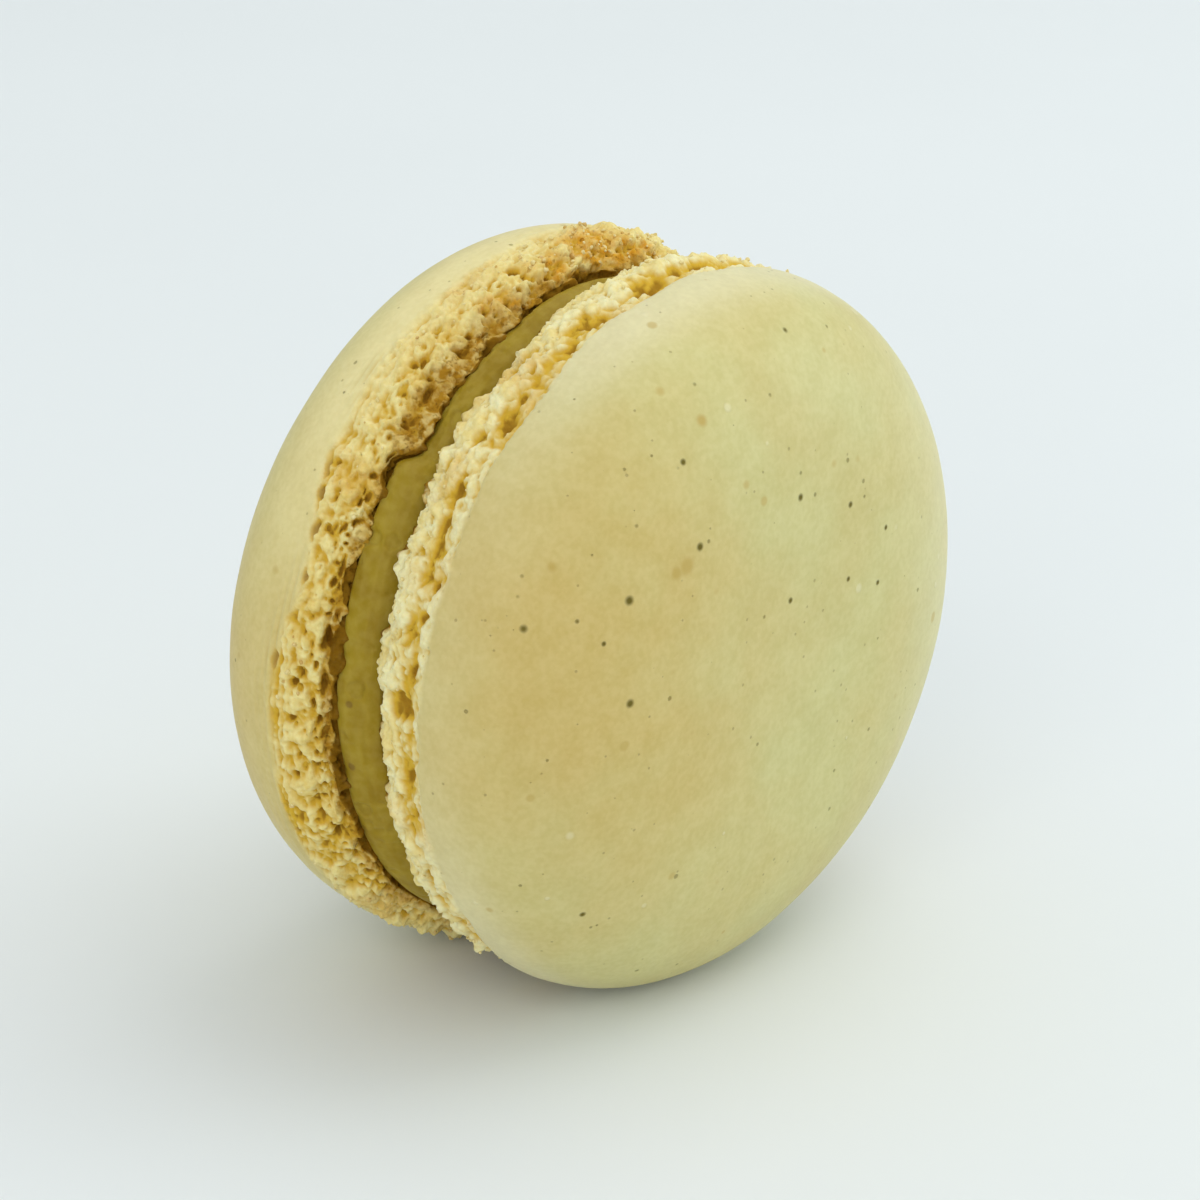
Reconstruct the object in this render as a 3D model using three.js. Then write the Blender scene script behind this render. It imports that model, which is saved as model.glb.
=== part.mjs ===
// A french macaron: two round almond-meringue shells, each with a smooth domed crust over a crumbly
// "foot", glued together by a disc of soft filling.  It stands on its edge, its axis along Y with the
// front shell facing -Y.  Millimetres, +Z up, origin under the middle of the object.
import * as THREE from 'three';

// ---- driving dimensions ----
const CRUST_RADIUS = 23.0;         // outer radius of each crust's lower edge
const DOME_HEIGHT = 9.5;           // crust edge to the top of the dome, along the axis
const DOME_ROUNDNESS = 3.9;        // 2 would be an ellipse, higher squares the shoulder
const FOOT_DEPTH_FRONT = 5.3;      // filling to crust edge, along the axis
const FOOT_DEPTH_BACK = 4.1;
const FOOT_ROOT_RADIUS = 20.8;     // where the foot meets the filling
const FOOT_ROOT_RADIUS_BACK = 21.3;
const FOOT_CREST_INSET = 0.4;      // the foot's ridge stays this far inside the crust's edge
const FOOT_CREST_AT = 0.7;         // share of the foot's depth from the filling to that ridge
const LIP_THICKNESS = 0.7;         // rounded lower edge of the crust
const LIP_ROUNDING = 0.15;         // how far that edge draws in where it meets the foot
const LIP_MIDDLE = 0.35;           // share of the lip's thickness where it still draws in
const FILLING_RADIUS = 20.45;
const FILLING_BULGE = 0.3;         // how far the filling's rim swells between the feet
const FILLING_THICKNESS = 1.9;
const BOND_GAP = 0.1;              // hairline between the filling and each foot
const SLIP_X = -0.6;               // the back shell sits a little aside and lower than the front one
const SLIP_Z = -0.35;
const STANDING_HEIGHT = 22.45;     // front shell's centre above the surface, so the crusts have flat spots

// ---- crumb relief of the feet: size is how far apart the lumps are, height how far they stand ----
const CRAGS = { size: 2.3, height: 0.33 };
const CRUMBS = { size: 1.15, height: 0.27 };
const SWELLS = { size: 4.5, height: 0.15 };
const PORES = { size: 1.3, depth: 0.7, spared: 0.25 };                 // spared: share left without
const GROOVE = { at: 0.88, width: 0.1, pitLength: 2.6, depth: 1.1 };   // at, width: shares of the foot
const GROOVE_MEAN = 0.45;          // share of its depth the groove has on average along the rim
const GROOVE_SWING = 1.3;          // and how far it comes and goes from there
const ROOT_CALM = 0.75;            // the foot is this much calmer where it meets the filling
const LIP_CALM = 0.2;
const FILLING_RIPPLE = { size: 5, height: 0.15 };

// ---- faceting ----
const FOOT_SIDES = 160;            // halved on the dome's side and again on its top
const FOOT_BANDS = 8;
const DOME_BANDS = 11;
const DOME_SIDE_BANDS = 6;
const DOME_STEP_POWER = 1.6;       // shortens the steps towards the top, so they stay even on the curve
const UNDERSIDE_SHARE = 0.6;       // where the flat underside halves its points
const FILLING_SIDES = 80;
const FILLING_BANDS = 4;
const FILLING_SEED = 71;

// Piping is never a perfect circle: each outline's waves as [waves per turn, cosine mm, sine mm].
const FRONT_WAVES = [[2, 0.11, -0.02], [3, 0.07, 0.03], [4, -0.05, -0.08]];
const BACK_WAVES = [[2, 0.1, 0], [3, -0.06, -0.17], [4, 0.06, 0]];

// ---- crumb relief: seeded noise over space, so it closes on itself round the rim ----
const smooth = t => t * t * (3 - 2 * t);

// A repeatable value from 0 to 1 for each corner of a unit lattice.
function latticeValue(i, j, k, seed) {
  let h = Math.imul(i, 374761393) + Math.imul(j, 668265263) + Math.imul(k, 2246822519);
  h = Math.imul(h ^ (h >>> 15), 3266489917) + Math.imul(seed, 2654435761);
  h = Math.imul(h ^ (h >>> 13), 1274126177);
  return ((h ^ (h >>> 16)) >>> 0) / 4294967295;
}

// Smoothly blends the eight lattice values around a point; lumps are about `grain` mm across.
function lumps(point, grain, seed) {
  const [x, y, z] = point.toArray().map(v => v / grain);
  const [i, j, k] = [x, y, z].map(Math.floor);
  const [u, v, w] = [x - i, y - j, z - k].map(smooth);
  let sum = 0;
  for (const [di, wi] of [[0, 1 - u], [1, u]]) {
    for (const [dj, wj] of [[0, 1 - v], [1, v]]) {
      for (const [dk, wk] of [[0, 1 - w], [1, w]]) {
        sum += latticeValue(i + di, j + dj, k + dk, seed) * wi * wj * wk;
      }
    }
  }
  return 2 * sum - 1;
}

// Relief of a foot in mm: crags parted by sharp creases, finer crumbs over them, slow swells under
// them, and pores where a fine noise is at its highest, so that they stay apart.
function crumbRelief(point, seed) {
  const crag = CRAGS.height * (0.5 - Math.abs(lumps(point, CRAGS.size, seed)));
  const crumb = CRUMBS.height * lumps(point, CRUMBS.size, seed + 1);
  const swell = SWELLS.height * lumps(point, SWELLS.size, seed + 2);
  const pore = PORES.depth * Math.max(0, lumps(point, PORES.size, seed + 3) - PORES.spared);
  return crag + crumb + swell - pore;
}

// ---- surfaces ----
const waves = (angle, list) => list.reduce((sum, [n, c, s]) =>
  sum + c * Math.cos(n * angle) + s * Math.sin(n * angle), 0);

// One ring of points round the axis.  `along` is measured from the crust edge out to the dome (+)
// or in to the filling (-); `rough` scales its crumb relief, and `footShare` tells how far up the
// foot it lies, for the groove.
function shellRing(shell, sides, { radius, along, rough = 0, footShare = 0 }) {
  const ring = [];
  for (let side = 0; side < sides; side += 1) {
    const angle = 2 * Math.PI * side / sides;
    const place = new THREE.Vector3(
      radius * Math.cos(angle), shell.facing * along, radius * Math.sin(angle));
    const relief = rough * crumbRelief(place, shell.seed);
    const groove = footShare > 0 ? grooveDepth(footShare, place, shell.seed) : 0;
    const wander = radius / CRUST_RADIUS * waves(angle, shell.waves);
    const reach = radius + wander + relief - groove;
    ring.push(new THREE.Vector3(reach * Math.cos(angle), shell.facing * along, reach * Math.sin(angle)));
  }
  return ring;
}

// The foot swells from its root at the filling to a ridge a little inside the crust's edge.
function footRadius(share, shell) {
  const crest = CRUST_RADIUS - FOOT_CREST_INSET;
  const rise = Math.PI / 2 * Math.min(share / FOOT_CREST_AT, 1);
  return shell.footRoot + (crest - shell.footRoot) * Math.sin(rise);
}

// How deep the groove is at a place on the foot: it runs under the crust's lip as a broken row of long
// pits, so it comes and goes along the rim.
function grooveDepth(share, place, seed) {
  const across = Math.exp(-(((share - GROOVE.at) / GROOVE.width) ** 2));
  const alongRim = GROOVE_MEAN + GROOVE_SWING * lumps(place, GROOVE.pitLength, seed + 4);
  return GROOVE.depth * across * smooth(THREE.MathUtils.clamp(alongRim, 0, 1));
}

// The dome is a superellipse: its radius falls as (1 - (along / height)^2)^(1 / roundness).
const domeRadius = along => CRUST_RADIUS * (1 - (along / DOME_HEIGHT) ** 2) ** (1 / DOME_ROUNDNESS);

// Every ring of a shell in order, from its flat underside round the foot and lip to the dome's top.
function shellRings(shell) {
  const underside = { radius: UNDERSIDE_SHARE * shell.footRoot, along: -shell.footDepth };
  const rings = [shellRing(shell, FOOT_SIDES / 2, underside)];
  for (let band = 0; band <= FOOT_BANDS; band += 1) {
    const share = band / FOOT_BANDS;
    rings.push(shellRing(shell, FOOT_SIDES, {
      radius: footRadius(share, shell),
      along: -shell.footDepth * (1 - share),
      rough: band === 0 ? ROOT_CALM : 1,
      footShare: share,
    }));
  }
  for (const rise of [LIP_MIDDLE, 1]) {
    const along = rise * LIP_THICKNESS;
    const radius = domeRadius(along) - (rise < 1 ? LIP_ROUNDING : 0);
    rings.push(shellRing(shell, FOOT_SIDES, { radius, along, rough: LIP_CALM }));
  }
  for (let band = 1; band < DOME_BANDS; band += 1) {
    const turn = Math.PI / 2 * (1 - (1 - band / DOME_BANDS) ** DOME_STEP_POWER);
    const along = DOME_HEIGHT * Math.sin(turn);
    const sides = band <= DOME_SIDE_BANDS ? FOOT_SIDES / 2 : FOOT_SIDES / 4;
    rings.push(shellRing(shell, sides, { radius: domeRadius(along), along }));
  }
  return rings;
}

// The filling's rim swells a little between the two feet, as it does when the shells are pressed on.
function fillingRings() {
  const rings = [];
  for (let band = 0; band <= FILLING_BANDS; band += 1) {
    const share = band / FILLING_BANDS;
    const radius = FILLING_RADIUS + FILLING_BULGE * Math.sin(Math.PI * share);
    const along = FILLING_THICKNESS * (share - 0.5);
    const ring = [];
    for (let side = 0; side < FILLING_SIDES; side += 1) {
      const angle = 2 * Math.PI * side / FILLING_SIDES;
      const place = new THREE.Vector3(radius * Math.cos(angle), along, radius * Math.sin(angle));
      const reach = radius + FILLING_RIPPLE.height * lumps(place, FILLING_RIPPLE.size, FILLING_SEED);
      ring.push(new THREE.Vector3(reach * Math.cos(angle), along, reach * Math.sin(angle)));
    }
    rings.push(ring);
  }
  return rings;
}

// Skins a stack of rings into one closed body.  Neighbouring rings have the same number of points, with
// their diagonals alternating, or one has twice as many; both ends close on their middle point.
function closedSkin(rings, startAlong, endAlong) {
  const points = [new THREE.Vector3(0, startAlong, 0), ...rings.flat(), new THREE.Vector3(0, endAlong, 0)];
  const starts = rings.map((ring, n) => 1 + rings.slice(0, n).reduce((sum, r) => sum + r.length, 0));
  const faces = [];
  const last = rings.length - 1;
  for (let n = 0; n < rings[0].length; n += 1) {
    faces.push([0, starts[0] + n, starts[0] + (n + 1) % rings[0].length]);
  }
  for (let level = 0; level < last; level += 1) {
    const [lower, upper] = [rings[level].length, rings[level + 1].length];
    const low = n => starts[level] + n % lower;
    const high = n => starts[level + 1] + n % upper;
    for (let n = 0; n < Math.max(lower, upper); n += 1) {
      if (lower === upper && (n + level) % 2 === 0) {
        faces.push([low(n), high(n), high(n + 1)], [low(n), high(n + 1), low(n + 1)]);
      } else if (lower === upper) {
        faces.push([low(n), high(n), low(n + 1)], [low(n + 1), high(n), high(n + 1)]);
      } else if (lower > upper && n % 2 === 0) {
        const above = high(n / 2);
        faces.push([low(n), above, low(n + 1)], [low(n + 1), above, high(n / 2 + 1)]);
        faces.push([low(n + 1), high(n / 2 + 1), low(n + 2)]);
      } else if (lower < upper && n % 2 === 0) {
        const below = low(n / 2);
        faces.push([below, high(n), high(n + 1)], [below, high(n + 1), low(n / 2 + 1)]);
        faces.push([low(n / 2 + 1), high(n + 1), high(n + 2)]);
      }
    }
  }
  for (let n = 0; n < rings[last].length; n += 1) {
    faces.push([starts[last] + n, points.length - 1, starts[last] + (n + 1) % rings[last].length]);
  }
  return { points, faces };
}

// Makes the mesh; `floor` lifts whatever would hang below it, which leaves the flat standing spot.
function solidMesh(name, { points, faces }, floor, flip, material) {
  for (const point of points) {
    point.z = Math.max(point.z, floor);
  }
  const geometry = new THREE.BufferGeometry().setFromPoints(points);
  geometry.setIndex(faces.flatMap(([a, b, c]) => (flip ? [a, c, b] : [a, b, c])));
  geometry.computeVertexNormals();
  const mesh = new THREE.Mesh(geometry, material);
  mesh.name = name;
  return mesh;
}

// ---- sub-parts ----
function shellMesh(shell) {
  const skin = closedSkin(shellRings(shell), -shell.facing * shell.footDepth, shell.facing * DOME_HEIGHT);
  const material = new THREE.MeshStandardMaterial({ color: shell.color, roughness: 0.62, metalness: 0 });
  const mesh = solidMesh(shell.name, skin, -STANDING_HEIGHT - shell.slipZ, shell.facing < 0, material);
  const crustEdge = FILLING_THICKNESS / 2 + BOND_GAP + shell.footDepth;
  mesh.position.set(shell.slipX, shell.facing * crustEdge, shell.slipZ);
  return mesh;
}

function frontShell() {
  return shellMesh({
    name: 'front_shell', facing: -1, seed: 11, footRoot: FOOT_ROOT_RADIUS, footDepth: FOOT_DEPTH_FRONT,
    waves: FRONT_WAVES, slipX: 0, slipZ: 0, color: 0xcabd84,
  });
}

function backShell() {
  return shellMesh({
    name: 'back_shell', facing: 1, seed: 37, footRoot: FOOT_ROOT_RADIUS_BACK, footDepth: FOOT_DEPTH_BACK,
    waves: BACK_WAVES, slipX: SLIP_X, slipZ: SLIP_Z, color: 0xc6b98a,
  });
}

function filling() {
  const skin = closedSkin(fillingRings(), -FILLING_THICKNESS / 2, FILLING_THICKNESS / 2);
  const material = new THREE.MeshStandardMaterial({ color: 0x9c8436, roughness: 0.45, metalness: 0 });
  const mesh = solidMesh('filling', skin, -Infinity, false, material);
  mesh.position.set(SLIP_X / 2, 0, SLIP_Z / 2);
  return mesh;
}

// ---- the whole object, moved so that its box stands centred on the origin ----
const macaron = new THREE.Group();
macaron.add(frontShell(), filling(), backShell());
const box = new THREE.Box3().setFromObject(macaron, true);
const middle = box.getCenter(new THREE.Vector3());
macaron.position.set(-middle.x, -middle.y, -box.min.z);
macaron.updateMatrixWorld(true);

export default macaron;
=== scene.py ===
"""A french macaron standing on its edge: two baked almond-meringue shells with crumbly feet, and the
pistachio cream that holds them together.

The file follows the order of assembly: the front shell, the back shell, the cream between them and the
crumbs that cling to the feet, then the table it stands on, the lamps and the camera.  Shapes are worked
out in millimetres and written to the meshes in metres.
"""
import itertools
import math
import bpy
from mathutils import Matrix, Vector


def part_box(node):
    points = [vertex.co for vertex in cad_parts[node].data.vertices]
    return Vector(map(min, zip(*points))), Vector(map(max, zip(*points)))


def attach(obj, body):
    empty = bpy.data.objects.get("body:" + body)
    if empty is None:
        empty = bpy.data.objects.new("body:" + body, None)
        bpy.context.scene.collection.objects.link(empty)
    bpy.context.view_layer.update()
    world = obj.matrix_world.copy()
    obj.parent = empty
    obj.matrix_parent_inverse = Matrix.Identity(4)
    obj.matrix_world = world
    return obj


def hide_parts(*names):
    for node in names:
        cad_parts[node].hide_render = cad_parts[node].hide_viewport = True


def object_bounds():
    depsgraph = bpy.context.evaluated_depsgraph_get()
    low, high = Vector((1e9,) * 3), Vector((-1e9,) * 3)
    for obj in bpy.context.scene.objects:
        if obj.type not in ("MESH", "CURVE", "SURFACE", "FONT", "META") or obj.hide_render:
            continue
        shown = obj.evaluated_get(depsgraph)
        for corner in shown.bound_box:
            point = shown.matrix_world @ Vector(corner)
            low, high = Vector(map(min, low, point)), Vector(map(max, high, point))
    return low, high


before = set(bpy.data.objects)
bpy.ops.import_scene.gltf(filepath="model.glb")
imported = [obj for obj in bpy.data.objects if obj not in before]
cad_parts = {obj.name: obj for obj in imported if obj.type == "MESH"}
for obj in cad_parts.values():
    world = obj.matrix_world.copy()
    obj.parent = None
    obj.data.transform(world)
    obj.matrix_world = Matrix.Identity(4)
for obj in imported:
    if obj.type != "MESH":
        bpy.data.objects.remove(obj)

from types import SimpleNamespace

import bmesh
import bpy
import numpy as np
from mathutils import Matrix, Vector

cad_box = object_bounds()


# ---- Front shell ------------------------------------------------------------------------------------
# A round of almond meringue.  Its skin dries before it bakes and lifts in one piece as a smooth dome,
# while the batter under it foams out sideways into a ragged, porous foot.  Skin and foot are one
# surface here, worked out ring by ring from the hidden underside to the top of the dome.

MM = 0.001
CRUST_RADIUS = 23.0        # of the crust's edge, where the dome sits on the foot
GIRTH = 2 * np.pi * CRUST_RADIUS
DOME_HEIGHT = 9.5          # crust edge to the top of the dome, along the axis
DOME_ROUNDNESS = 3.9       # 2 is an ellipse; more squares the shoulder
CREST_AT = 0.7             # share of the foot's depth where it is widest

SIDES = 1400               # points round a ring of the foot
COARSE = 4                 # the dome needs only one point for this many of the foot's
INNER_RINGS, UNDERSIDE_RINGS, FOOT_RINGS, EDGE_RINGS, DOME_RINGS = 3, 6, 47, 8, 36
INNERMOST = 0.25           # radius of the first ring, as a share of the coarse underside's
UNDERSIDE_WIDTH = 1.0      # how much of the underside is finely modelled, inwards from the root
EDGE_WIDTH = 1.7           # how much of the crust is, upwards from its edge
# The pale band at the dome's rim is painted sheen.
LEDGE_WIDTH = 6.0          # how far the pale band reaches up the dome from the crust's edge
DOME_STEP_POWER = 1.45     # shortens the dome's steps towards its top


def outline(turn, waves):
    """Radius of the crust's edge: a circle plus, for each wave, its cosine and sine height times the
    cosine and sine of the angle times the number of turns."""
    return CRUST_RADIUS + sum(c * np.cos(n * turn) + s * np.sin(n * turn) for n, c, s in waves)


def dome_radius(along):
    """A superellipse: the crust's radius times (1 - (along / height) squared) to the power 1 / roundness."""
    return CRUST_RADIUS * (1 - (along / DOME_HEIGHT) ** 2) ** (1 / DOME_ROUNDNESS)


def shell_profile(foot_depth, root_radius):
    """Radius and axial place of every ring.  Along is 0 at the crust's edge, minus towards the filling.
    The underside is flat; over the foot the radius follows a quarter sine from the root to the crust;
    the dome is a superellipse whose steps shorten towards the top."""
    under = np.linspace(root_radius - UNDERSIDE_WIDTH, root_radius, UNDERSIDE_RINGS, endpoint=False)
    share = np.linspace(0, 1, FOOT_RINGS)
    side = root_radius + (CRUST_RADIUS - root_radius) * np.sin(np.pi / 2 * np.minimum(share / CREST_AT, 1))
    edge = EDGE_WIDTH * np.arange(1, EDGE_RINGS + 1) / EDGE_RINGS
    fine_radius = np.concatenate([under, side, dome_radius(edge)])
    fine_along = np.concatenate([np.full(UNDERSIDE_RINGS, -foot_depth), -foot_depth * (1 - share), edge])
    first = math.asin(EDGE_WIDTH / DOME_HEIGHT)
    left = (1 - np.arange(1, DOME_RINGS + 1) / (DOME_RINGS + 1)) ** DOME_STEP_POWER
    dome_along = DOME_HEIGHT * np.sin(np.pi / 2 - (np.pi / 2 - first) * left)
    return fine_radius, fine_along, dome_radius(dome_along), dome_along


def smoothstep(value, low, high):
    """0 below low, 1 above high, and an even S-curve between."""
    t = np.clip((value - low) / (high - low), 0, 1)
    return t * t * (3 - 2 * t)


def fade(value, low, high):
    """1 below low, 0 above high, and an even S-curve between."""
    return 1 - smoothstep(value, low, high)


def stretch(value, start, full, fall, end):
    """Rises from 0 to 1 between start and full, and falls back to 0 between fall and end."""
    return smoothstep(value, start, full) * fade(value, fall, end)


def bell(value, middle, half):
    """The exponential of minus the square of the distance from the middle divided by half."""
    return np.exp(-((value - middle) / half) ** 2)


def lattice(corner, seed):
    """A repeatable number from 0 to 1 for each whole-number corner: its coordinates and the seed are
    multiplied by large odd constants, added up and scrambled twice."""
    i, j, k = (np.asarray(c).astype(np.int64).astype(np.uint64) for c in corner)
    low = np.uint64(0xFFFFFFFF)
    mixed = (i * np.uint64(374761393) + j * np.uint64(668265263) + k * np.uint64(2246822519)
             + np.uint64(seed * 3266489917)) & low
    for shift, factor in ((15, 2246822519), (13, 3266489917)):
        mixed = ((mixed ^ (mixed >> np.uint64(shift))) * np.uint64(factor)) & low
    return (mixed ^ (mixed >> np.uint64(16))) / 0xFFFFFFFF


def noise(points, grain, seed):
    """Smooth random relief from -1 to 1: the values of the eight lattice corners round each point,
    blended by the smoothstep of its place between them.  Its lumps are about one grain across."""
    cell = np.floor(points / grain)
    part = points / grain - cell
    part = part * part * (3 - 2 * part)
    total = 0
    for corner in itertools.product((0, 1), repeat=3):
        share = np.prod(np.where(corner, part, 1 - part), axis=-1)
        total = total + share * lattice([cell[..., n] + corner[n] for n in range(3)], seed)
    return 2 * total - 1


def layered(points, seed, *layers):
    """Adds up layers of noise, each given as its grain, its height and its number after the seed."""
    return sum(tall * noise(points, grain, seed + n) for grain, tall, n in layers)


def bubbles(arc, up, width, height, seed):
    """Scatters one point in every cell of a grid wrapped round the rim.  Gives the distance from each
    place to the nearest and to the second nearest point, in cells, and the nearest one's own number."""
    around = round(GIRTH / width)
    a, b = arc / width * (around * width / GIRTH), up / height
    base_a, base_b = np.floor(a), np.floor(b)
    nearest, second, owner = np.full(a.shape, 9.0), np.full(a.shape, 9.0), np.zeros(a.shape)
    for step_a, step_b in itertools.product((-1, 0, 1), repeat=2):
        cell_a, cell_b = base_a + step_a, base_b + step_b
        corner = (np.mod(cell_a, around), cell_b, np.zeros_like(a))
        far = np.hypot(cell_a + lattice(corner, seed) - a, cell_b + lattice(corner, seed + 1) - b)
        closer = far < nearest
        second = np.where(closer, nearest, np.minimum(second, far))
        owner = np.where(closer, lattice(corner, seed + 2), owner)
        nearest = np.where(closer, far, nearest)
    return nearest, second, owner


def pores(arc, up, size, seed, share, depth):
    """Round pits of mixed size, a little longer along the rim: only cells whose own number is under
    share have one, and its radius and depth grow with how far under."""
    nearest, _, owner = bubbles(arc, up, size * 1.25, size * 0.85, seed)
    big = np.clip((share - owner) / share, 0, 1)
    radius = 0.16 + 0.34 * big
    return depth * (0.3 + 0.7 * big) * (big > 0) * smoothstep(radius - nearest, 0, 0.16)


KNOBS = ((2.1, 0.55, 5), (1.05, 0.34, 8), (0.48, 0.15, 11))    # width, height in mm, number after the seed
GRIT = ((1.2, 0.16, 12), (0.6, 0.20, 13), (0.3, 0.13, 14))
STRATA_APART, STRATA_HEIGHT = 0.5, 0.02


def foot_relief(points, arc, up, foot_top, seed, style, pits):
    """Height of the foot's crumb over the plain surface, and how deep it lies in a hollow.  Knobs are
    cells of bubbles, round in the middle with a crease between.  A valley and faint strata run under
    the crust, and pores and pits are sunk into the whole.  The crumb calms down towards the crust."""
    level = up / foot_top
    warped_arc = arc + layered(points, seed, (1.7, 0.45, 1), (0.5, 0.12, 15))
    warped_up = up + layered(points, seed, (1.6, 0.40, 2), (0.5, 0.12, 16))
    rough = style.rough * (1 - (1 - style.calm) * smoothstep(level, style.calm_from, 0.95))
    height = layered(points, seed, (5.5, 0.20, 3), (2.4, 0.18, 4))
    for size, tall, n in KNOBS:
        nearest, second, owner = bubbles(warped_arc, warped_up, size, size * 0.8, seed + n)
        crease = 0.25 + 0.75 * smoothstep(second - nearest, 0, 0.5)
        knob = crease * (0.45 + 0.55 * owner) * np.sqrt(np.clip(1 - 0.8 * nearest ** 2, 0, 1))
        height += rough * tall * (knob - 0.5)
    height += style.grit * layered(points, seed, *GRIT)
    valley_level = style.valley_level + layered(points, seed, (3.5, 0.035, 35), (1.2, 0.02, 36))
    valley = style.valley_depth * bell(level, valley_level, style.valley_width)
    valley *= np.clip(0.5 + 0.75 * noise(points, 2.6, seed + 37), 0.05, 1.1)
    strata = np.sin(2 * np.pi * up / STRATA_APART + 3 * noise(points, 2.5, seed + 38))
    height += STRATA_HEIGHT * style.strata * strata * smoothstep(level, style.calm_from, 0.85)
    ragged = layered(points, seed, (0.9, 0.38, 31), (0.35, 0.26, 32))
    torn_arc, torn_up = warped_arc + 0.4 * ragged, warped_up - 0.3 * ragged
    hollow = pores(torn_arc, torn_up, 1.5, seed + 20, 0.16, 0.5 * rough)
    hollow = np.maximum(hollow, pores(torn_arc, torn_up, 0.75, seed + 24, 0.22, 0.34 * rough))
    hollow = np.maximum(hollow, pores(arc, up, 0.36, seed + 28, 0.3, 0.2 * rough))
    for turn_deg, pit_level, length, width, deep in pits:
        gap = (arc - math.radians(turn_deg) * CRUST_RADIUS + GIRTH / 2) % GIRTH - GIRTH / 2
        reach = np.hypot(gap / (length / 2), (up - pit_level * foot_top) / (width / 2)) + ragged
        hollow = np.maximum(hollow, deep * smoothstep(1.3 - reach, 0, 1.15))
    sunk = np.maximum(hollow, valley) + 0.35 * np.minimum(hollow, valley)
    return height - sunk, sunk


def long_pits(chosen, seed, spread_deg, level, length, width, deep, apart=4):
    """A broken row of long pits: the chosen ones, then drawn ones all round the rim, about spread_deg
    from each other and further than apart from a chosen one, as (angle, level, length, width, depth)."""
    draw = np.random.default_rng(seed)
    pits, turn = list(chosen), 0.0
    while turn < 360:
        turn += spread_deg * draw.uniform(0.55, 1.45)
        size = draw.uniform(0.5, 1.35, 4)
        pit = (turn, level + draw.normal(0, 0.035), length * size[0], width * size[1], deep * size[2])
        if all(abs((turn - other[0] + 180) % 360 - 180) > apart for other in chosen):
            pits.append(pit)
    return pits


def blur(field, rings, sides):
    """Averages a field over a window of 2 * rings + 1 by 2 * sides + 1 points; it wraps round the rim."""
    padded = np.pad(field, ((rings, rings), (0, 0)), mode="edge")
    field = sum(padded[n:n + field.shape[0]] for n in range(2 * rings + 1)) / (2 * rings + 1)
    return sum(np.roll(field, n, axis=1) for n in range(-sides, sides + 1)) / (2 * sides + 1)


def band(low, high):
    """Faces between two rings of point numbers.  Equal rings give quads.  Otherwise each edge of the
    fuller ring joins the other ring's nearest point, and each edge of that ring the point between."""
    if len(low) == len(high):
        return np.stack([low, np.roll(low, -1), np.roll(high, -1), high], axis=1).tolist()
    fine, coarse, order = (low, high, 1) if len(low) > len(high) else (high, low, -1)
    ratio = len(fine) // len(coarse)
    near = coarse[(np.arange(len(fine)) + ratio // 2) // ratio % len(coarse)]
    between = fine[np.arange(len(coarse)) * ratio + ratio // 2]
    fans = np.stack([fine, np.roll(fine, -1), near], axis=1)
    gaps = np.stack([coarse, between, np.roll(coarse, -1)], axis=1)
    return np.concatenate([fans, gaps])[:, ::order].tolist()


def new_piece(name, points, faces, fields, smooth=True):
    """A mesh object from points in mm and faces.  Each field holds one value for each point and becomes
    a mesh attribute for the material."""
    mesh = bpy.data.meshes.new(name)
    mesh.from_pydata((points * MM).tolist(), [], faces)
    mesh.polygons.foreach_set("use_smooth", np.full(len(faces), smooth))
    for field, values in fields.items():
        mesh.attributes.new(field, "FLOAT", "POINT").data.foreach_set("value", values.astype(np.float32))
    piece = bpy.data.objects.new(name, mesh)
    bpy.context.scene.collection.objects.link(piece)
    return piece


def closed_surface(name, rings, start, end, outward, fields):
    """Makes a piece of a stack of rings (each points by 3, in mm), closed at both ends on one point.
    Outward is +1 where the stack runs towards +Y and -1 where it runs towards -Y."""
    counts = np.cumsum([1] + [len(ring) for ring in rings])
    numbers = [np.arange(a, b) for a, b in zip(counts[:-1], counts[1:])]
    faces = [f for low, high in zip(numbers[:-1], numbers[1:]) for f in band(low, high)]
    first, last = numbers[0], numbers[-1]
    faces += np.stack([np.zeros_like(first), np.roll(first, -1), first], axis=1).tolist()
    faces += np.stack([np.full_like(last, counts[-1]), last, np.roll(last, -1)], axis=1).tolist()
    fields = {field: np.concatenate([[0], values, [0]]) for field, values in fields.items()}
    return new_piece(name, np.concatenate([[start], *rings, [end]]), [f[::-outward] for f in faces], fields)


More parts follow.
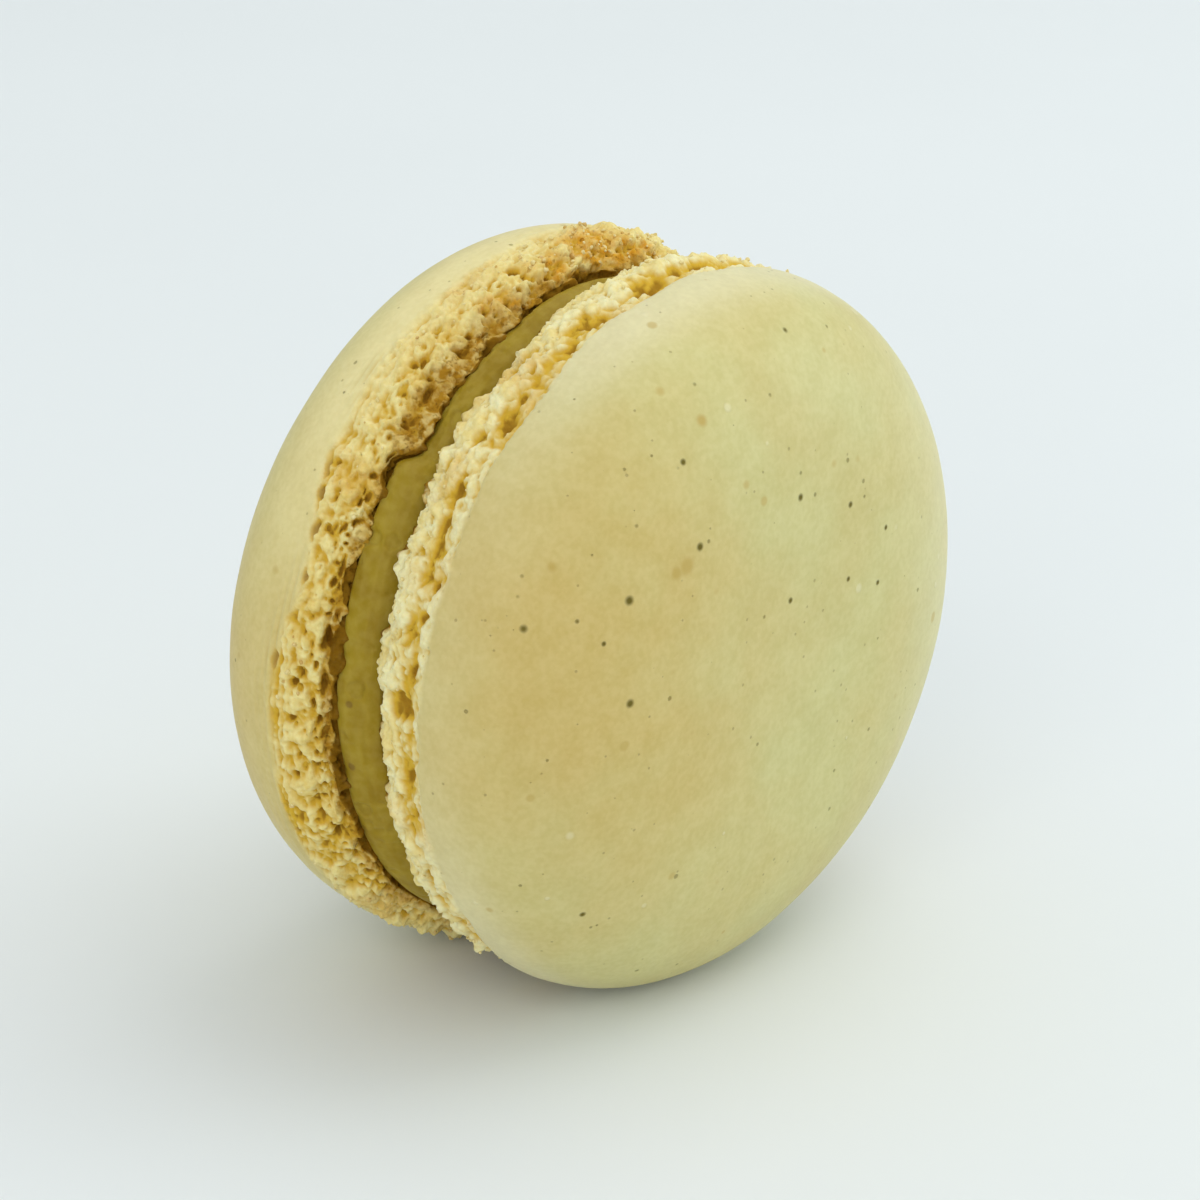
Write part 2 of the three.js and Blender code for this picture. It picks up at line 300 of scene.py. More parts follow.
def foot_and_edge(points, turn, up, foot_top, seed, style, pits):
    """The finely modelled part of a shell: how far each point stands out, how far it hangs over the
    filling, and three of its fields.  Foot and skin meet at a wandering border, the skin has a few
    wrinkles above it, and the root is ragged.  Hollow follows the pits and how far a point lies under
    the average round it; the material colours it amber, partly the crumb's own colour and partly
    painted shade, and darkest in the deepest places as painted shade."""
    degrees = np.degrees(turn)
    arc = np.broadcast_to(turn * CRUST_RADIUS, up.shape)
    border = foot_top - style.border(degrees) + layered(points, seed, (4.5, 0.32, 40), (1.1, 0.16, 41))
    foot = fade(up, border - style.edge, border + style.edge)
    relief, hollow = foot_relief(points, arc, up, foot_top, seed, style, pits)
    bare = smoothstep(up, -UNDERSIDE_WIDTH, -0.55 * UNDERSIDE_WIDTH)
    step = style.step * smoothstep(up, 0.1 * foot_top, 0.6 * foot_top)
    wrinkle = style.wrinkle * np.sin(2 * np.pi * up / 0.55 + 3 * noise(points, 3.0, seed + 42))
    wrinkle *= fade(up, border + 0.1, border + 2.2) * np.clip(0.6 + noise(points, 3.5, seed + 43), 0, 1.3)
    sunk = hollow * fade(up, border - 0.05, border + 0.3)
    full, fall = style.swell_by * foot_top, style.swell_to * foot_top
    swell = style.bulge(degrees) * stretch(up, -0.2, full, fall, foot_top)
    height = bare * (foot * (relief + hollow - step) - sunk + swell) + (1 - foot) * wrinkle
    height += (1 - foot) * 0.05 * noise(points, 3.0, seed + 44) * smoothstep(up, border, border + 1)
    # Dips: how far a point lies under the average round it; in the colour they darken creases as painted
    # shade.
    dips = 0.9 * (blur(height, 3, 3) - height) + 1.3 * (blur(height, 8, 11) - height)
    ragged = layered(points, seed, (1.8, 0.48, 46), (0.6, 0.2, 47))
    overhang = bare * (style.skirt(degrees) * fade(up, 0, 2.0) + ragged * fade(up, 0.2, 1.1))
    stain_and_shade = np.maximum(sunk / 0.85, 1.5 * blur(sunk, 6, 9))
    stain_and_shade += style.amber(degrees) * (0.35 + 0.65 * smoothstep(noise(points, 2.2, seed + 48), 0.0, 0.7))
    hollow = np.clip(stain_and_shade + 0.9 * dips, 0, 1.2) * np.clip(foot + (sunk > 0.05), 0, 1)
    hollow += (1 - foot) * np.clip(-6 * wrinkle, 0, 1)
    veil = style.veil * smoothstep(up, 0.45 * foot_top, 0.9 * foot_top)
    return height, overhang, {"foot": foot, "hollow": hollow, "veil": veil}


def seat(box, facing, waves):
    """Where a shell sits, from its CAD box: the middle of the crust's edge, and the depth of the foot."""
    low, high = (np.array(corner) / MM for corner in box)
    top, underside = (low[1], high[1]) if facing < 0 else (high[1], low[1])
    edge = top - facing * DOME_HEIGHT
    centre = (high[0] - outline(0.0, waves), edge, high[2] - outline(np.pi / 2, waves))
    return np.array(centre), abs(underside - edge)


def meringue_shell(name, facing, centre, foot_depth, root_radius, waves, seed, pits, style):
    """Builds one shell.  Facing is -1 or +1, the way the dome looks along Y.  Style holds the numbers of
    the foot's relief and the rules for where it swells, overhangs and browned, and where painted shade,
    warm bounce light and sheen go."""
    fine_radius, fine_along, dome_rad, dome_along = shell_profile(foot_depth, root_radius)
    length = np.concatenate([[0], np.cumsum(np.hypot(np.diff(fine_radius), np.diff(fine_along)))])
    length -= length[UNDERSIDE_RINGS]                       # 0 at the root, minus on the underside
    foot_top = length[UNDERSIDE_RINGS + FOOT_RINGS - 1]
    lean = np.stack([np.gradient(fine_along), -np.gradient(fine_radius)])
    lean = blur(lean.T, 2, 0).T
    lean = (lean / np.hypot(*lean))[..., None]              # the profile's outward direction
    turn = 2 * np.pi * np.arange(SIDES)[None, :] / SIDES
    wander = outline(turn, waves) - CRUST_RADIUS

    def place(radius, along, every=1):
        reach = radius + radius / CRUST_RADIUS * wander[:, ::every]
        along = np.broadcast_to(along, reach.shape)
        turned = turn[:, ::every]
        return np.stack([reach * np.cos(turned), facing * along, reach * np.sin(turned)], axis=-1)

    radius, along = fine_radius[:, None], fine_along[:, None]
    fine = place(radius, along)
    up = np.broadcast_to(length[:, None], fine.shape[:2])
    height, overhang, fields = foot_and_edge(fine, turn, up, foot_top, seed, style, pits)
    fine = place(radius + lean[0] * height, along + lean[1] * height - overhang)

    dome = place(dome_rad[:, None], dome_along[:, None], COARSE)
    settle = layered(dome, seed, (3.0, 0.05, 44), (8.0, 0.09, 45))
    settle *= 0.55 + 0.45 * smoothstep(dome_along, EDGE_WIDTH, EDGE_WIDTH + 3)[:, None]
    dome[..., 1] += facing * settle * (dome_along / DOME_HEIGHT)[:, None]
    inner_radius = np.linspace(INNERMOST, 1, INNER_RINGS, endpoint=False) * (root_radius - UNDERSIDE_WIDTH)
    inner = place(inner_radius[:, None], -foot_depth, COARSE)

    fields["toast"] = style.toasted(np.degrees(turn), up, foot_top, fine)
    fields["root"] = style.rooted(np.degrees(turn), up, fine)
    # Tan: partly browning, partly painted warm bounce light.
    fields["tan"] = style.tanned(fine)
    # Painted sheen: pale at the rim and, on the front dome, on the right.
    fields["painted_sheen"] = np.maximum(fade(up, foot_top, foot_top + LEDGE_WIDTH), style.paled(fine))
    on_inner = {"foot": 1.0, "root": 1.0}
    on_dome = {
        "veil": 1.0, "tan": style.tanned(dome),
        "painted_sheen": np.maximum(fade(dome_along, 0, LEDGE_WIDTH)[:, None], style.paled(dome)),
    }
    for field, values in fields.items():
        around = [np.broadcast_to(known.get(field, 0.0), part.shape[:2]).ravel()
                  for known, part in ((on_inner, inner), (on_dome, dome))]
        fields[field] = np.concatenate([around[0], values.ravel(), around[1]])
    rings = [ring + centre for ring in (*inner, *fine, *dome)]
    for ring in rings:
        ring[:, 2] = np.maximum(ring[:, 2], 0)              # the small flat spot it stands on
    start, end = centre - [0, facing * foot_depth, 0], centre + [0, facing * DOME_HEIGHT, 0]
    return closed_surface(name, rings, start, end, facing, fields)


FRONT_ROOT_RADIUS = 20.8            # the foot's inner edge, by the filling
FRONT_WAVES = ((2, 0.11, -0.02), (3, 0.07, 0.03), (4, -0.05, -0.08))  # turns, cosine mm, sine mm
# Middle and reach of the front tan patch, which is partly browning and partly painted warm bounce light.
FRONT_TAN_PLACE, FRONT_TAN_REACH = (-16.0, 4.0), (11.0, 15.0)


def away(points, middle, reach):
    """Squared distance in x and z from a place on the dome, measured in its reach each way."""
    return ((points[..., 0] - middle[0]) / reach[0]) ** 2 + ((points[..., 2] - middle[1]) / reach[1]) ** 2


def front_tanned(points):
    """The tan patch on the left shoulder, partly browning and partly painted warm bounce light: a soft
    oval, 1 in the middle of the patch, falling as the exponential of minus the distance cubed.
    """
    return np.exp(-away(points, FRONT_TAN_PLACE, FRONT_TAN_REACH) ** 1.5)


def front_paled(points):
    """Painted sheen: the dome is paler on the right, over half way to the edge's colour there, by an
    S-curve across x.
    """
    return 0.6 * smoothstep(points[..., 0], 4, 21)


def front_toasted(degrees, up, foot_top, points):
    """Only light browning here and there."""
    return 0.3 * smoothstep(noise(points, 3.0, 301), 0.25, 0.8)


def front_rooted(degrees, up, points):
    """The underside and a ragged line above it, where the foot baked against its sheet."""
    return fade(up + 0.25 * noise(points, 0.9, 305), 0.0, 0.45)


def always(value):
    """A rule that says the same all over the shell."""
    return lambda *where: value


# Angle in degrees, level on the foot, length, width and depth in mm of the pits that show most.
FRONT_PITS = (
    (82, 0.76, 1.6, 0.9, 0.35), (90, 0.76, 2.0, 1.1, 0.45), (99, 0.82, 1.3, 0.7, 0.4),
    (108, 0.82, 2.0, 1.0, 0.55), (114.5, 0.84, 1.3, 0.7, 0.5), (119.5, 0.76, 1.0, 0.6, 0.3),
    (126.4, 0.80, 1.1, 0.6, 0.5), (131.5, 0.82, 1.3, 1.2, 0.8), (134.5, 0.60, 1.5, 1.0, 0.35),
    (143, 0.70, 1.9, 1.5, 0.75), (149.5, 0.70, 2.6, 1.1, 0.5), (157.5, 0.88, 1.0, 0.7, 0.35),
    (162, 0.83, 1.3, 0.8, 0.5), (166, 0.58, 0.9, 0.7, 0.3), (170, 0.46, 1.3, 0.9, 0.5),
    (170.5, 0.80, 1.2, 0.9, 0.55), (176.5, 0.66, 2.4, 2.1, 0.75),
)
FRONT_STYLE = SimpleNamespace(
    rough=0.8, calm=0.9, calm_from=0.55,    # the knobs' strength, its share left at the crust, and the
                                            # level on the foot where it starts to fall
    grit=0.6, strata=0.4, wrinkle=0.012,    # strength of the grit and the strata; the wrinkles' height
    valley_level=0.76, valley_width=0.13,   # of the valley under the crust, as levels on the foot
    valley_depth=0.75,
    edge=0.25,                              # half the width of the border between foot and skin
    step=0.10,                              # how far the foot sits inside the skin
    swell_by=0.22, swell_to=0.5,            # levels on the foot between which it bulges in full
    veil=0.35,                              # how much of the skin's colour the foot takes by the crust
    bulge=lambda degrees: 0.75 * bell(degrees, 88, 26),     # how far it swells, most at the top
    skirt=always(0.0),                      # how far the root reaches over the filling
    border=always(0.0),                     # how far the skin reaches down over the foot
    amber=always(0.06),                     # how strongly the foot is stained in patches
    toasted=front_toasted, rooted=front_rooted, tanned=front_tanned, paled=front_paled,
)
front_centre, front_depth = seat(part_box("front_shell"), -1, FRONT_WAVES)
front_shell = meringue_shell(
    "front_meringue", -1, front_centre, front_depth, FRONT_ROOT_RADIUS, FRONT_WAVES, 1100,
    long_pits(FRONT_PITS, 12, 8.5, 0.78, 1.7, 0.9, 0.55), FRONT_STYLE)


class Tree:
    """A node tree, and the place on the surface that its patterns read.  What its nodes are given is
    linked if it is a socket and set if it is a number or a colour; None leaves an input alone."""

    def __init__(self, tree, place):
        self.tree, self.place = tree, place

    def fill(self, inputs, values):
        """Fills inputs by name or number."""
        for key, value in values.items():
            if isinstance(value, bpy.types.NodeSocket):
                self.tree.links.new(value, inputs[key])
            elif value is not None:
                is_colour = isinstance(value, tuple) and inputs[key].type == "RGBA"
                inputs[key].default_value = (*value, 1) if is_colour else value

    def node(self, kind, *values, **settings):
        """Adds a node, sets its properties by name, and fills its inputs in order."""
        made = self.tree.nodes.new(kind)
        for key, value in settings.items():
            setattr(made, key, value)
        self.fill(made.inputs, dict(enumerate(values)))
        return made

    def calc(self, operation, *values, clamp=False):
        """One arithmetic step."""
        return self.node("ShaderNodeMath", *values, operation=operation, use_clamp=clamp).outputs[0]

    def times(self, first, second, clamp=False):
        return self.calc("MULTIPLY", first, second, clamp=clamp)

    def ramp(self, value, low, high, start=0.0, end=1.0):
        """Carries a value from low..high to start..end with an S-curve."""
        made = self.node("ShaderNodeMapRange", value, low, high, start, end, interpolation_type="SMOOTHSTEP")
        return made.outputs[0]

    def between(self, factor, first, second):
        """A number between two others."""
        return self.node("ShaderNodeMix", factor, None, first, second).outputs[0]

    def mix(self, factor, first, second):
        """A colour between two others."""
        mixer = self.node("ShaderNodeMix", factor, data_type="RGBA")
        self.fill(mixer.inputs, {6: first, 7: second})
        return mixer.outputs[2]

    def speckle(self, size, seed, detail=2.0, rough=0.5):
        """Noise from 0 to 1 whose lumps are about size mm across."""
        made = self.node("ShaderNodeTexNoise", noise_dimensions="4D")
        self.fill(made.inputs, {
            "Vector": self.place, "W": seed, "Scale": 1 / (size * MM), "Detail": detail, "Roughness": rough})
        return made.outputs["Fac"]

    def use(self, group, **values):
        """Places a group and fills its inputs by name."""
        made = self.node("ShaderNodeGroup", node_tree=group)
        self.fill(made.inputs, {"Place": self.place, **values})
        return made.outputs

    def bump(self, height, reach):
        """The surface's direction on a relief that is reach mm high where the height is 1."""
        made = self.node("ShaderNodeBump", 1.0, reach * MM)
        self.fill(made.inputs, {"Height": height})
        return made.outputs["Normal"]


def new_group(name, inputs, outputs):
    """A shader node group that takes a place and the inputs, and gives the outputs, which are numbers:
    the group, its tree, and the sockets inside it."""
    group = bpy.data.node_groups.new(name, "ShaderNodeTree")
    for label, value in {"Place": (0, 0, 0), **inputs}.items():
        kind = "NodeSocketVector" if isinstance(value, tuple) else "NodeSocketFloat"
        group.interface.new_socket(label, in_out="INPUT", socket_type=kind).default_value = value
    for label in outputs:
        group.interface.new_socket(label, in_out="OUTPUT", socket_type="NodeSocketFloat")
    inside = group.nodes.new("NodeGroupInput").outputs
    return group, Tree(group, inside["Place"]), inside, group.nodes.new("NodeGroupOutput").inputs


def new_material(name):
    """A material, its tree, and the inputs of its surface."""
    material = bpy.data.materials.new(name)
    material.use_nodes = True
    nodes = material.node_tree.nodes
    place = nodes.new("ShaderNodeTexCoord").outputs["Object"]
    return material, Tree(material.node_tree, place), nodes["Principled BSDF"].inputs


# Flecks: one speck in each cell of a Voronoi pattern, kept only where the cell's own colour is low.
flecks, tree, inside, outside = new_group("flecks", {"Scale": 600.0, "Radius": 0.08, "Share": 0.3}, ["Mask"])
cells = tree.node("ShaderNodeTexVoronoi", voronoi_dimensions="3D", feature="F1")
tree.fill(cells.inputs, {"Vector": tree.place, "Scale": inside["Scale"]})
own = tree.node("ShaderNodeSeparateColor", cells.outputs["Color"]).outputs
kept = tree.calc("LESS_THAN", own[0], inside["Share"])
reach = tree.times(inside["Radius"], tree.calc("ADD", own[1], 0.5))
spot = tree.calc("SUBTRACT", 1.0, tree.calc("DIVIDE", cells.outputs["Distance"], reach), clamp=True)
tree.fill(outside, {"Mask": tree.times(tree.times(spot, 2.5, clamp=True), kept)})

# A pinhole: a small round spot at one place, with a soft edge.
pinhole, tree, inside, outside = new_group("pinhole", {"Centre": (0, 0, 0), "Radius": 0.0002}, ["Mask"])
apart = tree.node("ShaderNodeVectorMath", tree.place, inside["Centre"], operation="DISTANCE")
share = tree.calc("DIVIDE", apart.outputs["Value"], inside["Radius"])
tree.fill(outside, {"Mask": tree.ramp(share, 1.3, 0.35)})

# Crumb grain: the sandy tooth of baked almond meal, as a height and as a tone.
crumb_grain, tree, inside, outside = new_group(
    "crumb_grain", {"Coarse": 2200.0, "Fine": 6500.0}, ["Height", "Tone"])
coarse, fine = (tree.node("ShaderNodeTexNoise") for layer in range(2))
for layer, scale in ((coarse, "Coarse"), (fine, "Fine")):
    tree.fill(layer.inputs, {"Vector": tree.place, "Scale": inside[scale], "Detail": 3.0})
grains = tree.calc("ADD", tree.times(coarse.outputs["Fac"], 0.6), tree.times(fine.outputs["Fac"], 0.4))
tree.fill(outside, {"Height": grains, "Tone": tree.ramp(coarse.outputs["Fac"], 0.3, 0.7)})

# x and z from the shell's centre and radius, in mm, of the pinholes that show most on the front dome.
PINHOLES = (
    (-0.1, 11.3, 0.24), (4.8, 9.5, 0.2), (-9.0, 10.6, 0.26), (-14.3, 8.6, 0.3), (-19.8, 7.6, 0.26),
    (-14.5, 2.4, 0.28), (-9.2, 15.5, 0.2), (2.1, 20.4, 0.2), (8.0, 3.5, 0.18), (4.8, 4.7, 0.18),
    (-0.9, 5.0, 0.2), (8.7, 6.9, 0.18), (-17.4, 7.9, 0.16), (-16.1, 6.4, 0.16), (-19.6, 9.3, 0.16),
    (-15.6, -11.6, 0.2),
)
# The same for the specks of browned almond.
FRECKLES = ((-10.1, 9.7, 0.6), (-10.9, 9.5, 0.45), (-7.1, 17.4, 0.4), (-17.9, 10.9, 0.35))
# Cells in a metre, radius in cells and share kept, of pricks, faint pricks, almond specks and lumps.
SKIN_FLECKS = ((620.0, 0.08, 0.4), (1250.0, 0.10, 0.4), (290.0, 0.09, 0.85), (330.0, 0.09, 0.5))

CRUST_GREEN, CRUST_PALE, CRUST_TAN = (0.625, 0.57, 0.23), (0.765, 0.695, 0.40), (0.62, 0.455, 0.13)
MOTTLE_DARK, MOTTLE_LIGHT = (0.30, 0.26, 0.10), (0.95, 0.92, 0.62)
GRAIN_DARK, GRAIN_LIGHT = (0.25, 0.2, 0.08), (1.0, 0.95, 0.7)
ALMOND_BROWN, ALMOND_PALE = (0.52, 0.36, 0.085), (0.86, 0.78, 0.5)
PRICK_BROWN, HOLE_DARK = (0.22, 0.15, 0.04), (0.11, 0.085, 0.008)
FOOT_CREAM, FOOT_PEACH = (0.93, 0.86, 0.48), (0.88, 0.71, 0.27)
CRUMB_DARK, CRUMB_LIGHT = (0.45, 0.28, 0.07), (1.0, 0.94, 0.62)
FOOT_GOLD, FOOT_DARK = (0.68, 0.43, 0.045), (0.28, 0.13, 0.010)
FOOT_TOAST, FOOT_BROWN = (0.67, 0.33, 0.03), (0.34, 0.15, 0.012)
# Root colours: browning and scorch, also used as painted shade and shadow at the root.
ROOT_TAN, ROOT_DARK = (0.42, 0.215, 0.018), (0.19, 0.09, 0.005)


def dotted(tree, mask, dots):
    """Adds to a mask a round spot at each of the dots, which are set on the front dome's superellipse."""
    for x, z, radius in dots:
        along = DOME_HEIGHT * (1 - (math.hypot(x, z) / CRUST_RADIUS) ** DOME_ROUNDNESS) ** 0.5
        spot = tuple((front_centre + (x, -along, z)) * MM)
        mask = tree.calc("MAXIMUM", mask, tree.use(pinhole, Centre=spot, Radius=radius * MM)["Mask"])
    return mask


def meringue_material(name, pinholes, freckles, green, pale_skin, cream, peach):
    """Baked almond meringue: a smooth, faintly satin skin, pale at the shoulder and on the right as
    painted sheen, tan in patches, partly browning and partly painted warm bounce light, and a dry
    porous foot, cream outside and amber in its hollows, darkened in the deepest of them and by the
    cream with painted shade."""
    material, tree, surface = new_material(name)
    field = {key: tree.node("ShaderNodeAttribute", attribute_name=key).outputs["Fac"]
             for key in ("foot", "hollow", "toast", "root", "tan", "painted_sheen", "veil")}

    # The skin: pale at the rim and on the right, a painted sheen; tan in patches, partly browning and
    # partly painted warm bounce light; with soft mottling, specks and pricks.
    blotch = tree.speckle(7.0, 1.0)
    mottle = tree.speckle(2.0, 2.0, 3.0, 0.6)
    skin = tree.mix(tree.ramp(blotch, 0.3, 0.7, 0.0, 0.35), green, CRUST_TAN)
    tan = tree.times(field["tan"], tree.ramp(blotch, 0.2, 0.75, 0.65, 1.15), clamp=True)
    skin = tree.mix(tan, skin, CRUST_TAN)
    # Painted sheen: paler at the rim and on the right, less where the tan patch lies.
    pale = tree.times(tree.ramp(field["painted_sheen"], 0.05, 0.95), tree.ramp(field["tan"], 0.0, 0.8, 0.85, 0.15))
    skin = tree.mix(pale, skin, pale_skin)
    skin = tree.mix(0.055, skin, tree.mix(tree.ramp(mottle, 0.35, 0.65), MOTTLE_DARK, MOTTLE_LIGHT))
    grain = tree.use(crumb_grain, Coarse=2600.0, Fine=7000.0)
    skin = tree.mix(0.05, skin, tree.mix(grain["Tone"], GRAIN_DARK, GRAIN_LIGHT))
    pricks, faint, specks, lumps = (
        tree.use(flecks, Scale=scale, Radius=radius, Share=share)["Mask"]
        for scale, radius, share in SKIN_FLECKS)
    holes = dotted(tree, tree.times(pricks, 0.55), pinholes)
    specks = dotted(tree, tree.times(specks, 0.65), freckles)
    for mask, strength, colour in (
            (specks, 0.85, ALMOND_BROWN), (faint, 0.4, PRICK_BROWN),
            (holes, 0.9, HOLE_DARK), (lumps, 0.35, ALMOND_PALE)):
        skin = tree.mix(tree.times(mask, strength), skin, colour)
    # The skin's wrinkles and the pits at its border take the hollows' amber, partly painted shade.
    skin = tree.mix(tree.ramp(field["hollow"], 0.1, 0.9, 0.0, 0.45), skin, FOOT_GOLD)

    # The foot: cream crumb, peach in patches, amber to dark brown down in the hollows and at the root.
    # The amber is partly the crumb's own colour and partly painted shade; the darkest brown in the
    # deepest hollows and along the cream is painted shade, with some scorch at the root.
    foot = tree.mix(tree.ramp(tree.speckle(1.6, 5.0, 3.0, 0.6), 0.38, 0.62), cream, peach)
    foot = tree.mix(field["veil"], foot, pale_skin)
    foot = tree.mix(0.14, foot, tree.mix(grain["Tone"], CRUMB_DARK, CRUMB_LIGHT))
    blots = tree.ramp(tree.speckle(0.7, 6.0, 3.0), 0.35, 0.6, 0.4, 1.15)
    burns = tree.ramp(tree.speckle(0.35, 7.0, 2.0), 0.55, 0.68)
    for pattern, colour in ((blots, FOOT_TOAST), (burns, FOOT_BROWN)):
        foot = tree.mix(tree.times(field["toast"], pattern, clamp=True), foot, colour)
    # Amber in the hollows: the crumb's own colour, and painted shade where it follows the creases.
    foot = tree.mix(tree.ramp(field["hollow"], 0.06, 0.75), foot, FOOT_GOLD)
    # The root's tan and dark brown: some browning and scorch, and painted shade between the shells, with a
    # painted shadow line along the cream.
    uneven = tree.ramp(tree.speckle(0.55, 9.0, 3.0), 0.38, 0.62, 0.6, 1.35)
    foot = tree.mix(tree.times(field["root"], uneven, clamp=True), foot, ROOT_TAN)
    scorch_and_shadow = tree.times(field["root"], tree.ramp(tree.speckle(0.35, 10.0, 2.0), 0.52, 0.66, 0.0, 0.85))
    scorch_and_shadow = tree.calc("MAXIMUM", scorch_and_shadow, tree.ramp(field["root"], 0.8, 1.0, 0.0, 0.92))
    foot = tree.mix(scorch_and_shadow, foot, ROOT_DARK)
    # Painted shade: the deepest hollows darkened.
    foot = tree.mix(tree.ramp(field["hollow"], 0.75, 1.15, 0.0, 0.7), foot, FOOT_DARK)

    # Relief too fine for the mesh: grain everywhere, the pinholes sunk in, the small lumps raised.
    tooth = tree.times(grain["Height"], tree.between(field["foot"], 0.06, 1.2))
    dents = tree.calc("SUBTRACT", tree.times(lumps, 0.35), tree.calc("ADD", holes, tree.times(faint, 0.3)))
    dents = tree.times(dents, tree.calc("SUBTRACT", 1.0, field["foot"]))
    relief = tree.calc("ADD", tree.calc("ADD", tooth, dents), tree.times(tree.speckle(2.4, 8.0), 0.35))
    # Only the skin has a sheen, as a thin coat; the foot and the pinholes have none.
    dull = tree.calc("MAXIMUM", field["foot"], holes)
    tree.fill(surface, {
        "Base Color": tree.mix(field["foot"], skin, foot),
        "Roughness": tree.between(field["foot"], tree.ramp(mottle, 0.3, 0.7, 0.44, 0.58), 0.9),
        "Normal": tree.bump(relief, 0.10),
        "Coat Weight": tree.calc("MULTIPLY_ADD", dull, -0.6, 0.6),
        "Coat Roughness": 0.5,
        "Specular IOR Level": 0.03,
        "Subsurface Weight": 0.15,
        "Subsurface Radius": (1.0, 0.75, 0.4),
        "Subsurface Scale": 1.2 * MM,
    })
    return material


front_shell.data.materials.append(meringue_material(
    "front_baked_meringue", PINHOLES, FRECKLES, CRUST_GREEN, CRUST_PALE, FOOT_CREAM, FOOT_PEACH))
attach(front_shell, "root")
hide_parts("front_shell")


# ---- Back shell -------------------------------------------------------------------------------------
# The second round of meringue, turned to face the first.  Its foot spread more: it is coarser, swells
# out and toasted at the top, and its underside shows as a brown rim round the cream, browned and
# darkened with painted shade in the crevice between the shells, with a painted shadow line along
# the cream.

BACK_ROOT_RADIUS = 21.3
BACK_WAVES = ((2, 0.1, 0.0), (3, -0.06, -0.17), (4, 0.06, 0.0))
BACK_TAN_PLACE, BACK_TAN_REACH = (6.0, 4.0), (11.0, 12.0)
# The tan at the back shell's left edge is painted warm light.
SIDE_TAN_PLACE, SIDE_TAN_REACH = (-CRUST_RADIUS, -3.0), (9.0, 16.0)
NOTCH = 139                               # where the root breaks off, in degrees round the rim
BACK_GREEN, BACK_PALE = (0.68, 0.59, 0.225), (0.84, 0.72, 0.34)
BACK_CREAM, BACK_PEACH = (0.89, 0.75, 0.31), (0.81, 0.60, 0.17)


def back_tanned(points):
    """A soft oval like the front one, nearer the middle of the dome, and another at the left edge,
    which is painted warm light.
    """
    middle = np.exp(-away(points, BACK_TAN_PLACE, BACK_TAN_REACH)) * smoothstep(points[..., 1], 0.3, 3.5)
    return np.maximum(0.9 * middle, 0.8 * np.exp(-away(points, SIDE_TAN_PLACE, SIDE_TAN_REACH)))


def back_toasted(degrees, up, foot_top, points):
    """Browned in blots over a stretch at the top of the rim and in one spot there, faintly elsewhere."""
    top = stretch(degrees, 62, 74, 106, 122) * fade(up, 0.3 * foot_top, 0.7 * foot_top)
    blots = 0.22 + 0.8 * noise(points, 2.0, 304) + 0.9 * noise(points, 0.7, 308)
    spot = bell(degrees, 85, 4.5) * bell(up / foot_top, 0.5, 0.22)
    patchy = smoothstep(noise(points, 2.6, 303), 0.3, 0.8)
    return np.clip(top * blots + 1.5 * spot + 0.3 * patchy, 0, 1)


def back_rooted(degrees, up, points):
    """Browning and painted shade fading upwards, highest where the foot overhangs the cream, over a
    painted shadow line in the crevice at the very root.
    """
    wide = stretch(degrees, 90, 106, 137, 141)
    deep = stretch(degrees, 106, 124, 136, 140)
    left = stretch(degrees, 138, 144, 185, 205)
    shifted = up + layered(points, 306, (1.6, 0.35, 0), (0.6, 0.3, 1))
    # Browning and painted shade between the shells, widest and deepest above the notch.
    stain_and_shade = 0.78 * fade(shifted, 0.1 + 0.2 * left + 0.9 * deep, 0.95 + 1.15 * wide + 0.1 * left)
    # A painted shadow line in the crevice along the cream.
    shadow_line = 0.35 + 0.15 * left + (0.3 + 0.5 * left) * noise(points, 1.3, 309)
    return np.maximum(stain_and_shade, fade(up, shadow_line - 0.4, shadow_line + 0.1))


def back_skirt(degrees):
    """Millimetres the root stands out towards the filling: over it above the notch, short of it below."""
    above = stretch(degrees, 94, 118, NOTCH - 1.5, NOTCH + 1)
    below = stretch(degrees, NOTCH - 1, NOTCH + 1.5, 205, 240)
    return 0.45 * above - 0.2 * below


BACK_PITS = (
    (101, 0.55, 1.2, 0.8, 0.4), (111, 0.35, 1.0, 0.6, 0.4), (118, 0.2, 1.4, 0.5, 0.5),
    (124.8, 0.62, 1.0, 0.9, 0.35), (127.4, 0.23, 1.5, 0.45, 0.8), (130, 0.46, 1.0, 0.8, 0.35),
    (133, 0.2, 1.1, 0.4, 0.5), (139.5, 0.16, 1.2, 0.5, 0.6), (146.5, 0.2, 1.2, 0.5, 0.6),
    (148.5, 0.84, 1.0, 0.7, 0.65), (153, 0.48, 0.9, 0.7, 0.4), (154.5, 0.74, 1.3, 0.5, 0.6),
    (158, 0.2, 1.5, 0.5, 0.6), (161.3, 0.68, 1.1, 0.8, 0.55), (167.2, 0.72, 0.9, 0.8, 0.35),
    (169, 0.18, 2.0, 0.6, 0.7), (174.7, 0.93, 1.3, 0.5, 0.7), (177, 0.57, 0.8, 0.7, 0.45),
    (178, 0.15, 1.8, 0.6, 0.7),
)
BACK_STYLE = SimpleNamespace(
    rough=1.05, calm=0.3, calm_from=0.35, grit=1.05, strata=3.0, wrinkle=0.10,
    valley_level=0.9, valley_width=0.08, valley_depth=0.06,
    edge=0.35, step=0.05, swell_by=0.4, swell_to=0.75, veil=0.55,
    bulge=lambda degrees: 0.42 * bell(degrees, 78, 14),
    skirt=back_skirt,
    border=lambda degrees: 0.15 + 1.2 * bell(degrees, 160, 10),         # the skin reaches down on the left
    amber=lambda degrees: 0.08 + 0.67 * stretch(degrees, 120, 160, 200, 240),
    toasted=back_toasted, rooted=back_rooted, tanned=back_tanned, paled=always(0.0),
)
